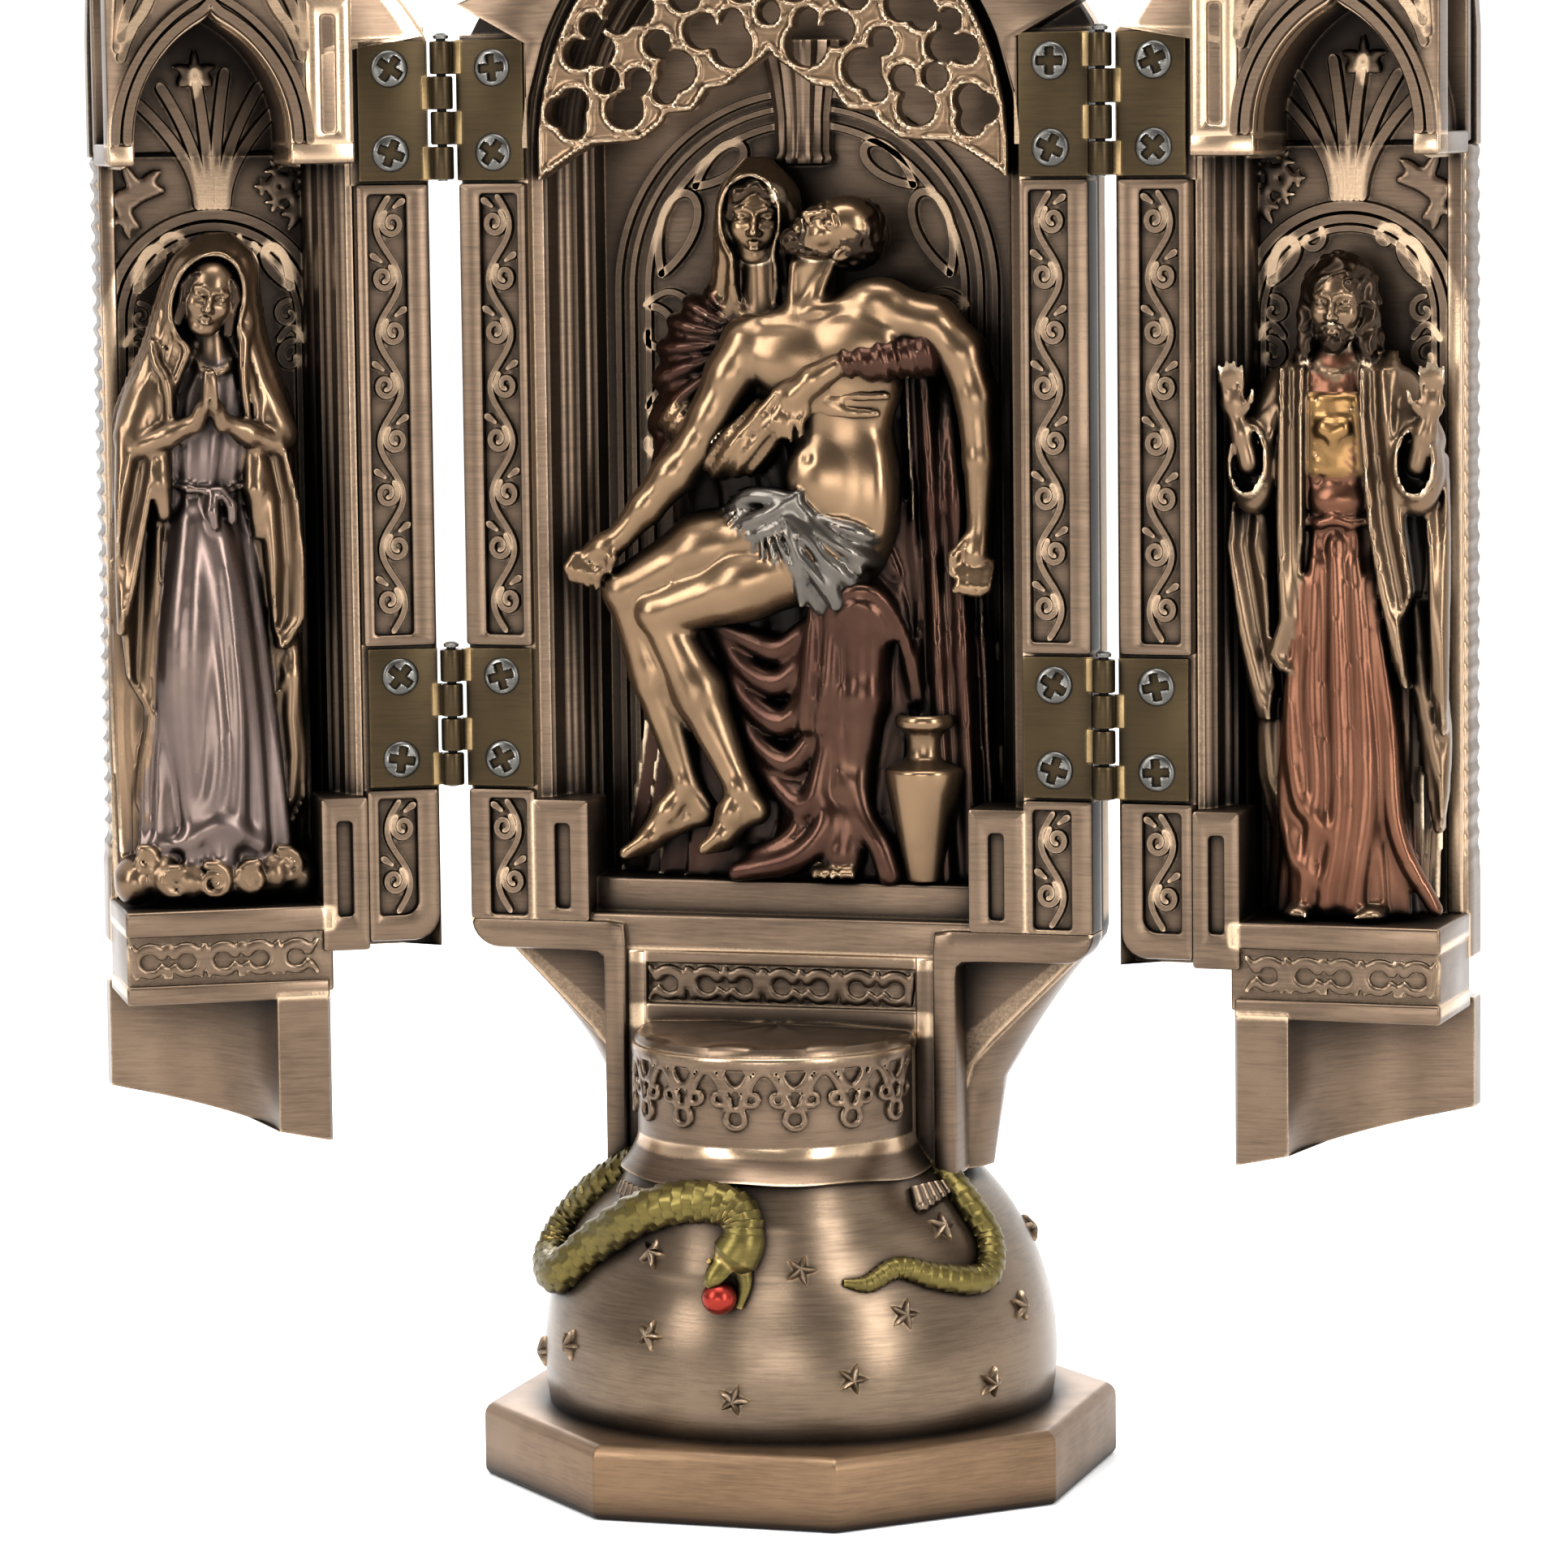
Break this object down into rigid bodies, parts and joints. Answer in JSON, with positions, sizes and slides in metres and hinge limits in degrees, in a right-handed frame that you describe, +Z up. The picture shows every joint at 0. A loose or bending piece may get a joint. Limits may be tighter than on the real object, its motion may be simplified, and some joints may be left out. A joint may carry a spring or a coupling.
{
  "type": "opening shrine statue",
  "caption": "Standing veiled figure on a starred globe and octagonal plinth, its robe opening as hinged wings onto niches with relief figures.",
  "frame": {"origin": "middle of the plinth's underside, where the statue stands", "axes": "+Z up, -Y towards the viewer in front of the niche, +X to the viewer's right"},
  "size_m": [0.16, 0.0682, 0.221],
  "materials": {
    "aged_bronze": "cold-cast bronze resin, dark in the recesses, rubbed on the edges",
    "pale_bronze": "cold-cast bronze resin, rubbed paler",
    "figure_bronze": "cold-cast bronze resin with thin colour washes on the cloth",
    "hinge_brass": "dull brass plate",
    "screw_steel": "tarnished steel"
  },
  "bodies": {
    "centre": {"plinth": "pale_bronze", "globe": "aged_bronze", "shrine": "aged_bronze", "pieta_group": "figure_bronze", "tracery_canopy": "pale_bronze", "left_lower_hinge_centre_leaf": "hinge_brass", "left_lower_hinge_pin": "screw_steel", "left_lower_centre_screw_bottom": "screw_steel", "left_lower_centre_screw_top": "screw_steel", "left_upper_hinge_centre_leaf": "hinge_brass", "left_upper_hinge_pin": "screw_steel", "left_upper_centre_screw_bottom": "screw_steel", "left_upper_centre_screw_top": "screw_steel", "right_lower_hinge_centre_leaf": "hinge_brass", "right_lower_hinge_pin": "screw_steel", "right_lower_centre_screw_bottom": "screw_steel", "right_lower_centre_screw_top": "screw_steel", "right_upper_hinge_centre_leaf": "hinge_brass", "right_upper_hinge_pin": "screw_steel", "right_upper_centre_screw_bottom": "screw_steel", "right_upper_centre_screw_top": "screw_steel"},
    "left_door": {"left_wing": "aged_bronze", "praying_virgin": "figure_bronze", "left_lower_hinge_wing_leaf": "hinge_brass", "left_lower_wing_screw_bottom": "screw_steel", "left_lower_wing_screw_top": "screw_steel", "left_upper_hinge_wing_leaf": "hinge_brass", "left_upper_wing_screw_bottom": "screw_steel", "left_upper_wing_screw_top": "screw_steel"},
    "right_door": {"right_wing": "aged_bronze", "blessing_christ": "figure_bronze", "right_lower_hinge_wing_leaf": "hinge_brass", "right_lower_wing_screw_bottom": "screw_steel", "right_lower_wing_screw_top": "screw_steel", "right_upper_hinge_wing_leaf": "hinge_brass", "right_upper_wing_screw_bottom": "screw_steel", "right_upper_wing_screw_top": "screw_steel"}
  },
  "joints": [
    {"name": "left_wing_hinge", "type": "hinge", "parent": "centre", "child": "left_door", "pos_m": [-0.03872, -0.0082, 0.12], "axis": [0, 0, 1], "range_deg": [-30, 150]},
    {"name": "right_wing_hinge", "type": "hinge", "parent": "centre", "child": "right_door", "pos_m": [0.03872, -0.0082, 0.12], "axis": [0, 0, -1], "range_deg": [-2, 178]}
  ]
}
